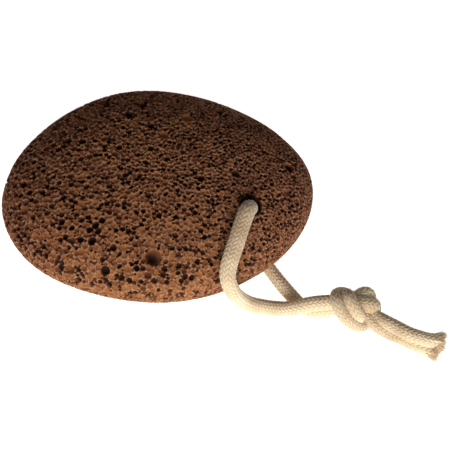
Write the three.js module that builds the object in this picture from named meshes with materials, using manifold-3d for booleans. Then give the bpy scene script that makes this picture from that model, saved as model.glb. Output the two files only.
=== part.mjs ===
// A lava foot stone with a cotton hanging cord, in millimetres, +Z up.
// The stone lies on its sole at z = 0, with its long side along X, its narrow end at +X
// and its plan centred on the origin. One cord runs through its hole and is knotted double.
import * as THREE from 'three';
import { mergeVertices } from 'three/addons/utils/BufferGeometryUtils.js';
import Module from 'manifold-3d';

// Stone
const stoneLength = 100;
const stoneWidth = 75.5;
const stoneThickness = 32;
const narrowing = 0.14; // share of the width lost towards the narrow end and gained at the blunt end
const sectionFullness = 2.2; // 2 would be an ellipse, more is squarer at the rim
const outlineSwells = [
  { lobes: 3, along: -0.023, across: -0.01 },
  { lobes: 4, along: 0.007, across: 0.0115 },
];
const soleGround = 0.3; // depth worn off below, which leaves the flat sole
const stoneDetail = 6;
const stoneColour = 0x6e422e;

// Hole for the cord
const holeX = 29.5;
const holeY = -12;
const boreRadius = 3.2;
const topMouthHeight = 28.7;
const topMouthRounding = 1.1;
const bottomMouthHeight = 4.2;
const bottomMouthRounding = 3;
const holeSides = 18;

// Pores that are wide enough to see from a step away
const poreTries = 425;
const poreLeast = 0.95;
const poreMost = 2.1;
const widePoreFrom = 1.5;
const bubbleSink = 0.2; // how far a wide pore's centre lies below the surface, in radii
const funnelSides = 6;
const funnelDepth = 1.15; // depth of a small pore in radii
const funnelRise = 0.4;
const poreCoarseEnd = 0.25; // how much wider the pores are at the blunt, near side
const poreFreeBelow = 2.6; // height under which the sole stays whole
const poreFreeRound = 2.2; // ring round the hole's mouths without pores

// The widest open pores on the upper face: x, y, radius
const openPores = [
  [-2.5, -23.5, 2.3],
  [9, 25, 2],
  [-17.5, -29, 1.5],
  [-29, -28.5, 1.5],
  [-44, 1, 1.5],
  [-25, 17.5, 1.2],
  [-12, 10, 1.4],
  [-5.5, 30.5, 1.4],
  [-32, -11, 1.4],
  [-18.5, -13, 1.3],
  [-21, -17.5, 1.4],
  [-19, -22, 1.3],
  [-27, -20.5, 1.6],
  [20, 27, 1.4],
  [42, 7.5, 1.6],
  [13, 2.5, 1.2],
  [24.5, 4, 1.4],
  [26.5, -32.5, 1.4],
  [-43.5, -10.5, 1.8],
  [0.5, -34.5, 1.2],
];

// Cord
const cordAcross = 4.4; // five millimetres of soft braid, pressed a little where it lies
const cordInKnot = 3.9;
const cordUnderStone = 3.7; // pressed where it turns round the hole's lower edge
const cordFrayed = 5; // the cut ends open out
const cordSides = 8;
const sectionTurn = 0.31; // share of a side
const cordColour = 0xd9c7a0;

// Upper half: from the middle of the hole over the near rim, through the knot, to its cut end
const upperRoute = [
  [29.5, -12, 16], [29.7, -11.7, 23], [29.6, -12, 28.6], [28.7, -14.6, 31.5], [27.2, -18.7, 30.8],
  [25.7, -23.2, 29.7], [24.2, -27.4, 28.1], [22.9, -31.4, 26], [22.5, -34.2, 23.3], [23.6, -35.8, 19.5],
  [25.2, -35.9, 14.5], [27.8, -35.3, 9], [31.5, -34.9, 5], [35.2, -34.7, 3], [38.5, -34.9, 2.7],
  [41.5, -35.5, 3.8], [44.5, -36, 6], [48, -36, 8], [51.5, -36, 9.3], [55, -36, 10],
  [58.5, -36.5, 10.5], [61.5, -36.8, 10.8], [64.5, -36.5, 10.5], [67.5, -35.5, 9], [69.5, -34.5, 7],
  [69, -34.5, 4.5], [68.3, -37.5, 3], [66, -41, 4], [62.8, -42.4, 7.1], [59, -41, 11],
  [57, -37.5, 13], [57, -33.5, 11.5], [59, -31.5, 9], [62.5, -32.5, 6.5], [66.5, -36, 6],
  [71, -39, 6.5], [75.5, -42, 6.8], [80, -44.8, 6.3], [85, -46.9, 5.5], [90, -47.4, 4.2],
];
const upperSpans = [[18, 34, cordInKnot]];
const upperCuts = [25, 30];

// The knot is drawn tight, so nothing is hollow between its turns: x, y, z, radius
const knotCore = [
  [66.5, -34.3, 6.6, 1.9],
  [63.2, -36.4, 6, 2.2],
];

// Lower half: down out of the hole, out under the near rim, through the knot, to its cut end
const lowerRoute = [
  [29.5, -12, 16], [29.3, -11.8, 9], [29.6, -12.2, 4.8], [31.4, -14.6, 2.5], [34, -18, 2.4],
  [36.3, -20.8, 2.5], [38.2, -23.6, 2.5], [40.4, -26.7, 2.5], [42.8, -29.8, 2.5], [45, -32.6, 2.5],
  [47.2, -35, 2.6], [49.5, -36.2, 4], [52.5, -37, 5.8], [56, -37.2, 7], [59.5, -37, 7.8],
  [62.5, -35, 8.5], [65.2, -32.6, 9.2], [67.2, -31.8, 6.8], [67, -32.5, 4], [65, -34.8, 2.4],
  [64, -37.8, 2.5], [63.2, -40, 4.6], [64, -40.4, 8.4], [62.6, -40, 12], [61, -37.6, 14],
  [60.2, -34.6, 12.9], [59.8, -33.8, 9], [60.5, -34.5, 6], [63, -36.5, 5.5], [66.5, -39.2, 6],
  [70, -42, 5], [74, -43.8, 3.3], [79, -45.8, 2.6], [84, -48.2, 2.6], [88.5, -49.8, 2.8],
];
const lowerSpans = [[2, 4, cordUnderStone], [12, 29, cordInKnot]];
const lowerCuts = [18, 24];

const wasm = await Module();
wasm.setup();

// A closed three.js geometry as a solid that can be joined and cut.
function toSolid(geometry) {
  const bare = geometry.clone();
  bare.deleteAttribute('normal');
  bare.deleteAttribute('uv');
  const merged = mergeVertices(bare, 1e-4);
  return new wasm.Manifold(
    new wasm.Mesh({
      numProp: 3,
      vertProperties: new Float32Array(merged.attributes.position.array),
      triVerts: new Uint32Array(merged.index.array),
    }),
  );
}

function toGeometry(solid) {
  const mesh = solid.getMesh();
  const geometry = new THREE.BufferGeometry();
  geometry.setAttribute('position', new THREE.BufferAttribute(mesh.vertProperties, 3));
  geometry.setIndex(new THREE.BufferAttribute(mesh.triVerts, 1));
  const flat = geometry.toNonIndexed();
  flat.computeVertexNormals();
  return flat;
}

// A repeatable value from 0 to 1 for each whole number.
function scatter(number) {
  const value = Math.sin(number * 12.9898) * 43758.5453;
  return value - Math.floor(value);
}

function swellAt(turn) {
  let swell = 1;
  for (const { lobes, along, across } of outlineSwells) {
    swell += along * Math.cos(lobes * turn) + across * Math.sin(lobes * turn);
  }
  return swell;
}

// The outline seen from above, before it is centred: an egg with slight swells.
function outlineAt(turn) {
  const swell = swellAt(turn);
  return new THREE.Vector2(
    (stoneLength / 2) * Math.cos(turn) * swell,
    (stoneWidth / 2) * Math.sin(turn) * (1 - narrowing * Math.cos(turn)) * swell,
  );
}

function outlineCentre() {
  const outline = Array.from({ length: 720 }, (_, step) => outlineAt((step / 720) * 2 * Math.PI));
  return new THREE.Box2().setFromPoints(outline).getCenter(new THREE.Vector2());
}

const planCentre = outlineCentre();

// The stone's skin in a given direction from its middle: the outline shrinks towards top and
// bottom as a superellipse does.
function skinAt(direction) {
  const level = Math.hypot(direction.x, direction.y);
  const ring = level ** (2 / sectionFullness);
  const outline = outlineAt(Math.atan2(direction.y, direction.x));
  const rise = Math.sign(direction.z) * Math.abs(direction.z) ** (2 / sectionFullness);
  const halfHeight = (stoneThickness + soleGround) / 2;
  return new THREE.Vector3(
    outline.x * ring - planCentre.x,
    outline.y * ring - planCentre.y,
    halfHeight * (1 + rise) - soleGround,
  );
}

function skinNormal(direction) {
  const aside = new THREE.Vector3(-direction.y, direction.x, 0.001).normalize();
  const upward = new THREE.Vector3().crossVectors(direction, aside);
  const step = 0.01;
  const here = skinAt(direction);
  const alongAside = skinAt(direction.clone().addScaledVector(aside, step).normalize()).sub(here);
  const alongUpward = skinAt(direction.clone().addScaledVector(upward, step).normalize()).sub(here);
  return alongAside.cross(alongUpward).normalize();
}

// The direction whose skin point on the upper face lies over x, y.
function directionOver(x, y) {
  const flatX = (x + planCentre.x) / (stoneLength / 2);
  const flatY = (y + planCentre.y) / (stoneWidth / 2);
  let turn = Math.atan2(flatY, flatX);
  for (let pass = 0; pass < 8; pass += 1) {
    turn = Math.atan2(flatY / (1 - narrowing * Math.cos(turn)), flatX);
  }
  const ring = Math.hypot(flatX, flatY / (1 - narrowing * Math.cos(turn))) / swellAt(turn);
  const level = Math.min(ring ** (sectionFullness / 2), 1);
  return new THREE.Vector3(Math.cos(turn) * level, Math.sin(turn) * level, Math.sqrt(1 - level ** 2));
}

// A wide pore is a bubble that has been cut open.
function makeBubble(direction, radius, number) {
  const centre = skinAt(direction).addScaledVector(skinNormal(direction), -radius * bubbleSink);
  const bubble = new THREE.IcosahedronGeometry(radius, 0);
  bubble.rotateX(scatter(number + 0.1) * Math.PI);
  bubble.rotateZ(scatter(number + 0.2) * Math.PI);
  return bubble.translate(centre.x, centre.y, centre.z);
}

// A small pore is an uneven funnel, whose wide end lies above the skin.
function makeFunnel(direction, radius, number) {
  const above = radius * funnelRise;
  const below = radius * funnelDepth;
  const wideRadius = radius * (1 + funnelRise / funnelDepth);
  const funnel = new THREE.ConeGeometry(wideRadius, below + above, funnelSides);
  funnel.rotateY(scatter(number + 0.1) * Math.PI);
  funnel.scale(0.85 + 0.35 * scatter(number + 0.2), 1, 0.85 + 0.35 * scatter(number + 0.3));
  funnel.translate(0, (below - above) / 2, 0);
  const tipDown = new THREE.Quaternion();
  tipDown.setFromUnitVectors(new THREE.Vector3(0, -1, 0), skinNormal(direction));
  funnel.applyQuaternion(tipDown);
  const centre = skinAt(direction);
  return funnel.translate(centre.x, centre.y, centre.z);
}

function clearOfHole(point, radius) {
  return Math.hypot(point.x - holeX, point.y - holeY) > boreRadius + poreFreeRound + radius;
}

// Pores spread evenly over the skin along a golden spiral, thinned where the skin is cramped.
function scatteredPores() {
  const goldenTurn = Math.PI * (3 - Math.sqrt(5));
  const pores = [];
  for (let number = 0; number < poreTries; number += 1) {
    const height = 1 - (2 * (number + 0.5)) / poreTries;
    const level = Math.sqrt(1 - height ** 2);
    const turn = number * goldenTurn + scatter(number) * 0.3;
    const direction = new THREE.Vector3(Math.cos(turn) * level, Math.sin(turn) * level, height);
    const room = Math.hypot(
      (direction.x * stoneThickness) / stoneLength,
      (direction.y * stoneThickness) / stoneWidth,
      direction.z,
    );
    const point = skinAt(direction);
    const coarse = 1 - (poreCoarseEnd * (point.x + point.y)) / stoneLength;
    const radius = (poreLeast + (poreMost - poreLeast) * scatter(number + 0.5) ** 3) * coarse;
    if (scatter(number + 0.7) < room && point.z > poreFreeBelow && clearOfHole(point, radius)) {
      const makePore = radius > widePoreFrom ? makeBubble : makeFunnel;
      pores.push(makePore(direction, radius, number));
    }
  }
  return pores;
}

function holePlug() {
  const arcSteps = 4;
  const profile = [new THREE.Vector2(0, bottomMouthHeight - 6)];
  profile.push(new THREE.Vector2(boreRadius + bottomMouthRounding + 1, bottomMouthHeight - 6));
  for (let step = arcSteps; step >= 0; step -= 1) {
    const angle = (step / arcSteps) * (Math.PI / 2);
    profile.push(
      new THREE.Vector2(
        boreRadius + bottomMouthRounding * (1 - Math.cos(angle)),
        bottomMouthHeight + bottomMouthRounding * (1 - Math.sin(angle)),
      ),
    );
  }
  for (let step = 0; step <= arcSteps; step += 1) {
    const angle = (step / arcSteps) * (Math.PI / 2);
    profile.push(
      new THREE.Vector2(
        boreRadius + topMouthRounding * (1 - Math.cos(angle)),
        topMouthHeight - topMouthRounding * (1 - Math.sin(angle)),
      ),
    );
  }
  profile.push(new THREE.Vector2(boreRadius + topMouthRounding + 1, topMouthHeight + 6));
  profile.push(new THREE.Vector2(0, topMouthHeight + 6));
  const plug = new THREE.LatheGeometry(profile, holeSides);
  plug.rotateX(Math.PI / 2);
  return plug.translate(holeX, holeY, 0);
}

function makeStone() {
  const pebble = new THREE.IcosahedronGeometry(1, stoneDetail);
  const position = pebble.attributes.position;
  const direction = new THREE.Vector3();
  for (let index = 0; index < position.count; index += 1) {
    direction.fromBufferAttribute(position, index).normalize();
    const point = skinAt(direction);
    position.setXYZ(index, point.x, point.y, point.z);
  }
  const ground = new THREE.BoxGeometry(2 * stoneLength, 2 * stoneWidth, 20).translate(0, 0, -10);
  let solid = toSolid(pebble).subtract(toSolid(ground)).subtract(toSolid(holePlug()));
  for (const pore of scatteredPores()) {
    solid = solid.subtract(toSolid(pore));
  }
  openPores.forEach(([x, y, radius], number) => {
    solid = solid.subtract(toSolid(makeBubble(directionOver(x, y), radius, 1000 + number)));
  });
  return toGeometry(solid);
}

// A curve whose rings are given, so that neighbouring stretches of cord share their end ring.
class CordStretch extends THREE.Curve {
  constructor(points, normals, binormals) {
    super();
    Object.assign(this, { points, normals, binormals });
  }

  getSpacedPoints() {
    return this.points;
  }

  computeFrenetFrames() {
    return { tangents: [], normals: this.normals, binormals: this.binormals };
  }
}

// Width of the cord at a point of its route: less where a span presses it, more at the cut end.
function widthAt(index, last, spans) {
  if (index === last) return cordFrayed;
  const span = spans.find(([from, to]) => index >= from && index <= to);
  return span ? span[2] : cordAcross;
}

// One half of the cord as stretches that don't touch themselves, cut where the knot turns back.
function cordStretches(route, spans, cuts) {
  const points = route.map(([x, y, z]) => new THREE.Vector3(x, y, z));
  const last = points.length - 1;
  const curve = new THREE.CatmullRomCurve3(points);
  curve.getUtoTmapping = (share) => share; // one ring at each point, however far apart they are
  const frames = curve.computeFrenetFrames(last, false);
  points.forEach((_, index) => {
    const width = widthAt(index, last, spans) / cordAcross;
    frames.normals[index].multiplyScalar(width);
    frames.binormals[index].multiplyScalar(width);
  });
  const corner = cordAcross / 2 / Math.cos(Math.PI / cordSides);
  const section = new THREE.Shape(
    Array.from({ length: cordSides }, (_, side) => {
      const angle = ((side + sectionTurn) / cordSides) * 2 * Math.PI;
      return new THREE.Vector2(corner * Math.cos(angle), corner * Math.sin(angle));
    }),
  );
  return [0, ...cuts].map((from, place) => {
    const to = cuts[place] ?? last;
    const stretch = new CordStretch(
      points.slice(from, to + 1),
      frames.normals.slice(from, to + 1),
      frames.binormals.slice(from, to + 1),
    );
    return new THREE.ExtrudeGeometry(section, { steps: to - from, extrudePath: stretch });
  });
}

function makeCord() {
  const stretches = [
    ...cordStretches(upperRoute, upperSpans, upperCuts),
    ...cordStretches(lowerRoute, lowerSpans, lowerCuts),
  ];
  const core = knotCore.map(([x, y, z, radius]) => {
    return new THREE.IcosahedronGeometry(radius, 1).translate(x, y, z);
  });
  return toGeometry([...stretches, ...core].map(toSolid).reduce((joined, piece) => joined.add(piece)));
}

function addPiece(group, name, geometry, colour, roughness) {
  const material = new THREE.MeshStandardMaterial({ color: colour, roughness, metalness: 0 });
  const mesh = new THREE.Mesh(geometry, material);
  mesh.name = name;
  group.add(mesh);
}

const group = new THREE.Group();
addPiece(group, 'stone', makeStone(), stoneColour, 0.95);
addPiece(group, 'cord', makeCord(), cordColour, 0.9);

export default group;
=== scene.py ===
# A lava foot stone on its cotton cord, seen from above on a pale table.
# Lengths in the settings are in millimetres and become metres where a mesh is made.
import itertools
import math

import bpy
import numpy as np
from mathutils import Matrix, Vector


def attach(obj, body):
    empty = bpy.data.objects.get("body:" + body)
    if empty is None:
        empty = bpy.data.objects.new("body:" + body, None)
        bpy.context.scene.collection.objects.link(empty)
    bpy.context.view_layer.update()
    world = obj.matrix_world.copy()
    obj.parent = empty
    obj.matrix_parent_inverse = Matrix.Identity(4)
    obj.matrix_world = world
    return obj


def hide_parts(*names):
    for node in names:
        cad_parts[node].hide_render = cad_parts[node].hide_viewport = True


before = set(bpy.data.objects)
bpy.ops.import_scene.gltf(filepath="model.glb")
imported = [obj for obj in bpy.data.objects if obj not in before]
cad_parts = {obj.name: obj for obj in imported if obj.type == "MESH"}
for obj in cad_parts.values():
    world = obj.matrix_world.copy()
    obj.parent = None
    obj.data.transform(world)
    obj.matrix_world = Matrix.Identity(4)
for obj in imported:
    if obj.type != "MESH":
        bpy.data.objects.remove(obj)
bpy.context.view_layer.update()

mm = 0.001


# Camera: its direction and distance follow from the stone's outline in the picture
cameraSettings = {
    "elevation": 62,
    "aim": (22.02, -3.43, 0),
    "distance": 460.5,
    "lens": 110,
    "sensor": 36,
}


def makeCamera(settings):
    # looks along +Y and down, from the distance given
    lens = bpy.data.cameras.new("camera")
    lens.lens = settings["lens"]
    lens.sensor_width = settings["sensor"]
    lens.clip_start = 0.01
    tilt = math.radians(settings["elevation"])
    back = Vector((0, -math.cos(tilt), math.sin(tilt))) * settings["distance"] * mm
    camera = bpy.data.objects.new("camera", lens)
    camera.location = Vector(settings["aim"]) * mm + back
    camera.rotation_euler = (math.pi / 2 - tilt, 0, 0)
    bpy.context.collection.objects.link(camera)
    bpy.context.scene.camera = camera


makeCamera(cameraSettings)
print("camera placed")


# Form of the stone, shared by the stone itself and by what lies on it
formSettings = {
    "length": 100,
    "width": 75.5,
    "thickness": 32,
    "narrowing": 0.14,
    "fullness": 2.2,
    "swells": [(3, -0.023, -0.01), (4, 0.007, 0.0115)],
    "soleGround": 0.3,
    "holeX": 29.5,
    "holeY": -12,
    "boreRadius": 3.2,
    "topMouth": (28.9, 0.4),
    "bottomMouth": (4.2, 3),
    "mouthWorn": 0.75,  # how far the upper mouth is worn sideways
    "mouthWornFrom": (20, 29),  # between these heights
    "mouthLean": 0.3,  # share of that along x
}


def swellAt(turn):
    # 1 plus a few low waves round the outline
    waves = (a * np.cos(k * turn) + b * np.sin(k * turn) for k, a, b in formSettings["swells"])
    return 1 + sum(waves)


def narrowAt(turn):
    # less than 1 at the narrow end, and as much more at the wide one
    return 1 - formSettings["narrowing"] * np.cos(turn)


def outlineAt(turn):
    # an ellipse whose width shrinks towards one end, times the swell
    swell = swellAt(turn)
    x = formSettings["length"] / 2 * np.cos(turn) * swell
    y = formSettings["width"] / 2 * np.sin(turn) * narrowAt(turn) * swell
    return x, y


def outlineCentre():
    x, y = outlineAt(np.linspace(0, 2 * math.pi, 720, endpoint=False))
    return (x.min() + x.max()) / 2, (y.min() + y.max()) / 2


planX, planY = outlineCentre()
halfHeight = (formSettings["thickness"] + formSettings["soleGround"]) / 2
middleHeight = halfHeight - formSettings["soleGround"]


def skinPoint(turn, climb):
    # the outline shrunk by cos(climb) and raised by sin(climb), both to the power 2 / fullness
    power = 2 / formSettings["fullness"]
    x, y = outlineAt(turn)
    ring = np.cos(climb) ** power
    rise = np.sign(np.sin(climb)) * np.abs(np.sin(climb)) ** power
    return np.stack([x * ring - planX, y * ring - planY, middleHeight + halfHeight * rise], axis=-1)


def planTurn(x, y, rounds=8):
    # the turn whose outline point lies in the direction of x, y, found by repeated correction,
    # and the share of the way to that outline point
    flatX = (x + planX) / (formSettings["length"] / 2)
    flatY = (y + planY) / (formSettings["width"] / 2)
    turn = np.arctan2(flatY, flatX)
    for _ in range(rounds):
        turn = np.arctan2(flatY / narrowAt(turn), flatX)
    share = np.hypot(flatX, flatY / narrowAt(turn)) / swellAt(turn)
    return turn, share


def skinLevel(points):
    # 1 on the skin, less inside: the fullness-norm of the plan share and the height share
    _, share = planTurn(points[:, 0], points[:, 1])
    rise = np.abs(points[:, 2] - middleHeight) / halfHeight
    power = formSettings["fullness"]
    return (share**power + rise**power) ** (1 / power)


def skinSlope(points):
    # gradient of the level by small differences
    step = 0.02
    slope = [skinLevel(points + away) - skinLevel(points - away) for away in step * np.eye(3)]
    return np.stack(slope, axis=-1) / (2 * step)


def skinNormals(points):
    slope = skinSlope(points)
    return slope / np.linalg.norm(slope, axis=1, keepdims=True)


def topOver(x, y):
    # the point of the upper skin over x, y
    _, share = planTurn(x, y)
    power = formSettings["fullness"]
    rise = np.maximum(1 - share**power, 0) ** (1 / power)
    return np.stack([x, y, middleHeight + halfHeight * rise], axis=-1)


def makeObject(name, vertices, faces, body="root"):
    # a mesh object at the origin, its vertices given in millimetres
    mesh = bpy.data.meshes.new(name)
    mesh.from_pydata((np.asarray(vertices) * mm).tolist(), [], faces)
    mesh.shade_smooth()
    piece = bpy.data.objects.new(name, mesh)
    bpy.context.collection.objects.link(piece)
    if body:
        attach(piece, body)
    return piece


def giveValues(piece, name, values):
    # a number at each vertex, which the materials read by its name
    attribute = piece.data.attributes.new(name, "FLOAT", "POINT")
    attribute.data.foreach_set("value", np.asarray(values, dtype=np.float32))


def gridFaces(rows, columns):
    # quads of a grid that closes round its columns
    row, column = np.meshgrid(np.arange(rows - 1), np.arange(columns), indexing="ij")
    after = (column + 1) % columns
    near, far = row * columns, (row + 1) * columns
    corners = [near + column, near + after, far + after, far + column]
    return np.stack(corners, axis=-1).reshape(-1, 4)


def fanFaces(centre, start, columns, flip):
    # triangles from one centre vertex to a closed row
    column = np.arange(columns)
    after = (column + 1) % columns
    first, second = (after, column) if flip else (column, after)
    return np.stack([np.full(columns, centre), start + first, start + second], axis=-1)


def shellFaces(rows, columns, flip=False):
    # a grid, and a fan at each end round the two vertices that come after the grid's own
    grid = gridFaces(rows, columns)[:, ::-1] if flip else gridFaces(rows, columns)
    first = fanFaces(rows * columns, 0, columns, not flip)
    last = fanFaces(rows * columns + 1, (rows - 1) * columns, columns, flip)
    return grid.tolist() + first.tolist() + last.tolist()


def scatter(number):
    # a repeatable value from 0 to 1 for each number
    value = np.sin(np.asarray(number, dtype=float) * 12.9898) * 43758.5453
    return value - np.floor(value)


def smoothStep(low, high, value):
    share = np.clip((value - low) / (high - low), 0, 1)
    return share * share * (3 - 2 * share)


# Cord: two halves of one braided cotton cord, both from the middle of the stone's hole
cordSettings = {
    "diameter": 5,
    "step": 0.18,
    "around": 84,
    "columns": 14,
    "stitch": 1.45,
    "stitchSlant": 0.75,
    "stitchDepth": 0.26,
    "stitchDrift": 0.27,
    "stitchRound": 0.7,
    "columnEdge": 0.45,  # height of a stitch at its column's edge
    "uneven": 0.06,
    "soften": 1.1,
    "softenStep": 0.1,
    "widened": 0.09,  # the next three where it lies on the stone
    "flattened": 0.21,
    "sagged": 0.35,
    "pressedBelow": 0.5,  # the table flattens what would lie under this height
    "lowest": 0.08,
    "frayLength": 7,
    "frayWidth": 0.45,
    "endBulge": 0.25,
    "dustAndShadeFade": (15, 50),  # distances from the hole's middle over which the brown dust and painted shade end
    "knotDustAndShade": 0.5,
    "knotDustAndShadeFrom": (75, 90),  # from the hole's middle
    "knotDustAndShadeUntil": (16, 4),  # back from the cut end
}

# Each half has its route, the place where it leaves the hole, its radius at distances from the
# hole's middle and back from its cut end, the distances where it comes to lie on the stone and
# leaves it, the route point where a tight turn swells it, by how much and over what length, how
# much brown dust and painted shade it takes near the hole, and its share of the fuzz
upperSettings = {
    "route": [
        (29.5, -12, 16), (29.7, -11.7, 23), (29.6, -12, 28.6), (28.7, -14.6, 31.5),
        (27.2, -18.7, 30.8), (25.7, -23.2, 29.7), (24.2, -27.4, 28.1), (22.9, -31.4, 26),
        (22.5, -34.2, 23.3), (23.6, -35.8, 19.5), (25.2, -35.9, 14.5), (27.8, -35.3, 9),
        (31.5, -34.9, 5), (35.2, -34.7, 3), (38.5, -34.9, 2.7), (41.5, -35.5, 3.8),
        (44.5, -36, 6), (48, -36, 8), (51.5, -36, 9.3), (55, -36, 10), (58.5, -36.5, 10.5),
        (61.5, -36.8, 10.8), (64, -36.7, 10.5), (66.6, -36.3, 9), (68.5, -36, 7),
        (68.5, -36.2, 4.5), (68.3, -37.5, 3), (66, -41, 4), (62.8, -42.4, 7.1), (59, -41, 11),
        (57, -37.5, 13), (57, -34.1, 11.2), (59, -32.3, 8.7), (62.5, -33, 6.3),
        (66.5, -37, 5.8), (71, -40.2, 6.2), (75.5, -43, 6.4), (80, -45.3, 6.1),
        (85, -46.9, 5.5), (90, -47.4, 4.2),
    ],
    "exit": (29.5, -12, 28.6),
    "radii": [(0, 2.4), (10, 2.4), (16, 2.5), (82, 2.5), (92, 2.2)],
    "endRadii": [(38, 2.2), (30, 2.25), (0, 2.35)],
    "onStone": (12, 17, 34, 40),
    "swollen": [(24, 0.8, 5)],
    "nearHoleDustAndShade": 1,
    "fuzzShare": 0.56,
}
lowerSettings = {
    "route": [
        (29.5, -12, 16), (29.3, -11.8, 9), (29.6, -12.2, 4.8), (31.4, -14.6, 2.5),
        (34, -18, 2.4), (36.3, -20.8, 2.5), (38.2, -23.6, 2.5), (40.4, -26.7, 2.5),
        (42.8, -29.8, 2.5), (45, -32.6, 2.5), (47.2, -35, 2.6), (49.5, -36.2, 4),
        (52.5, -37, 5.8), (56, -37.2, 7), (59.5, -37, 7.8), (62.5, -35, 8.5), (65, -33.2, 9),
        (67.2, -32.4, 6.8), (67, -32.5, 4), (65, -34.8, 2.4), (64, -37.8, 2.5),
        (63.2, -40, 4.6), (64, -40.4, 8.4), (62.6, -40, 12), (61, -37.6, 14),
        (60.2, -34.6, 12.9), (59.8, -33.8, 9), (60.5, -34.5, 6), (63, -36.5, 5.5),
        (66.5, -39.2, 6), (70, -42, 5), (74, -43.8, 3.3), (79, -45.8, 2.6), (84, -48.2, 2.6),
        (88.5, -49.8, 2.8),
    ],
    "exit": (29.5, -12, 4.8),
    "radii": [(0, 2.4), (10, 2.4), (14, 2.0), (22, 2.2), (30, 2.3), (48, 2.3), (56, 2.15)],
    "endRadii": [(38, 2.15), (30, 2.2), (0, 2.3)],
    "onStone": None,
    "swollen": [(17, 0.8, 5)],
    "nearHoleDustAndShade": 0.25,
    "fuzzShare": 0.44,
}


def curveThrough(route, perSpan=24):
    # Catmull-Rom curve through the points, its knots spaced by the root of their distance
    points = np.array(route, dtype=float)
    points = np.vstack([2 * points[0] - points[1], points, 2 * points[-1] - points[-2]])
    before, start, end, beyond = points[:-3], points[1:-2], points[2:-1], points[3:]
    gapA, gapB, gapC = (
        np.linalg.norm(b - a, axis=1, keepdims=True) ** 0.5
        for a, b in ((before, start), (start, end), (end, beyond))
    )
    leave = ((start - before) / gapA - (end - before) / (gapA + gapB) + (end - start) / gapB) * gapB
    arrive = (end - start) / gapB - (beyond - start) / (gapB + gapC) + (beyond - end) / gapC
    arrive = arrive * gapB
    share = (np.arange(perSpan) / perSpan)[None, :, None]
    start, end, leave, arrive = (value[:, None, :] for value in (start, end, leave, arrive))
    cubic = 2 * start - 2 * end + leave + arrive
    square = 3 * end - 3 * start - 2 * leave - arrive
    curve = start + leave * share + square * share**2 + cubic * share**3
    return np.vstack([curve.reshape(-1, 3), points[-2]])


def evenSteps(curve, step):
    # the same line at even distances along it
    along = np.concatenate([[0], np.cumsum(np.linalg.norm(np.diff(curve, axis=0), axis=1))])
    count = int(along[-1] / step) + 1
    places = np.linspace(0, along[-1], count)
    return np.stack([np.interp(places, along, curve[:, axis]) for axis in range(3)], axis=1), places


def softened(line, step, reach):
    # each point becomes the bell-weighted mean of its neighbours, the two ends staying put
    width = int(3 * reach / step)
    bell = np.exp(-0.5 * (np.arange(-width, width + 1) * step / reach) ** 2)
    bell /= bell.sum()
    padded = np.vstack([
        2 * line[0] - line[width:0:-1],
        line,
        2 * line[-1] - line[-2:-width - 2:-1],
    ])
    return np.stack([np.convolve(padded[:, axis], bell, mode="valid") for axis in range(3)], axis=1)


def carriedFrames(line):
    # a side direction carried along the line without twisting, by two reflections per step
    ahead = np.gradient(line, axis=0)
    ahead /= np.linalg.norm(ahead, axis=1, keepdims=True)
    side = np.empty_like(line)
    side[0] = np.cross(ahead[0], (0, 1, 0))
    side[0] /= np.linalg.norm(side[0])
    for i in range(len(line) - 1):
        chord = line[i + 1] - line[i]
        length = chord @ chord
        mirrored = side[i] - 2 / length * (chord @ side[i]) * chord
        turned = ahead[i] - 2 / length * (chord @ ahead[i]) * chord
        chord = ahead[i + 1] - turned
        length = chord @ chord + 1e-18
        side[i + 1] = mirrored - 2 / length * (chord @ mirrored) * chord
    return ahead, side, np.cross(ahead, side)


def braidHeight(along, around):
    # a braid's face is columns of slanted stitches, each column leaning against the next;
    # a stitch is a rounded ridge that dips at the column's edges, and its spacing drifts a little
    settings = cordSettings
    column = around * settings["columns"]
    number = np.floor(column)
    across = column - number
    lean = np.where(number % 2 == 0, 1, -1) * settings["stitchSlant"]
    sway = np.sin(along / 7.9 + 2 * number)
    drift = settings["stitchDrift"] * np.sin(along / 3.1 + number) * sway
    phase = along / settings["stitch"] + drift + lean * (across - 0.5) + 0.5 * (number % 2)
    ridge = np.abs(np.sin(math.pi * phase)) ** settings["stitchRound"]
    edge = np.clip(1 - np.abs(2 * across - 1) ** 3, 0, 1) ** 0.5
    return ridge * (settings["columnEdge"] + (1 - settings["columnEdge"]) * edge)


def radiusAlong(half, places):
    # straight lines between the radii given from the hole's middle and back from the cut end
    total = places[-1]
    marks = half["radii"] + [(total - back, radius) for back, radius in half["endRadii"]]
    return np.interp(places, *zip(*marks))


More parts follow.
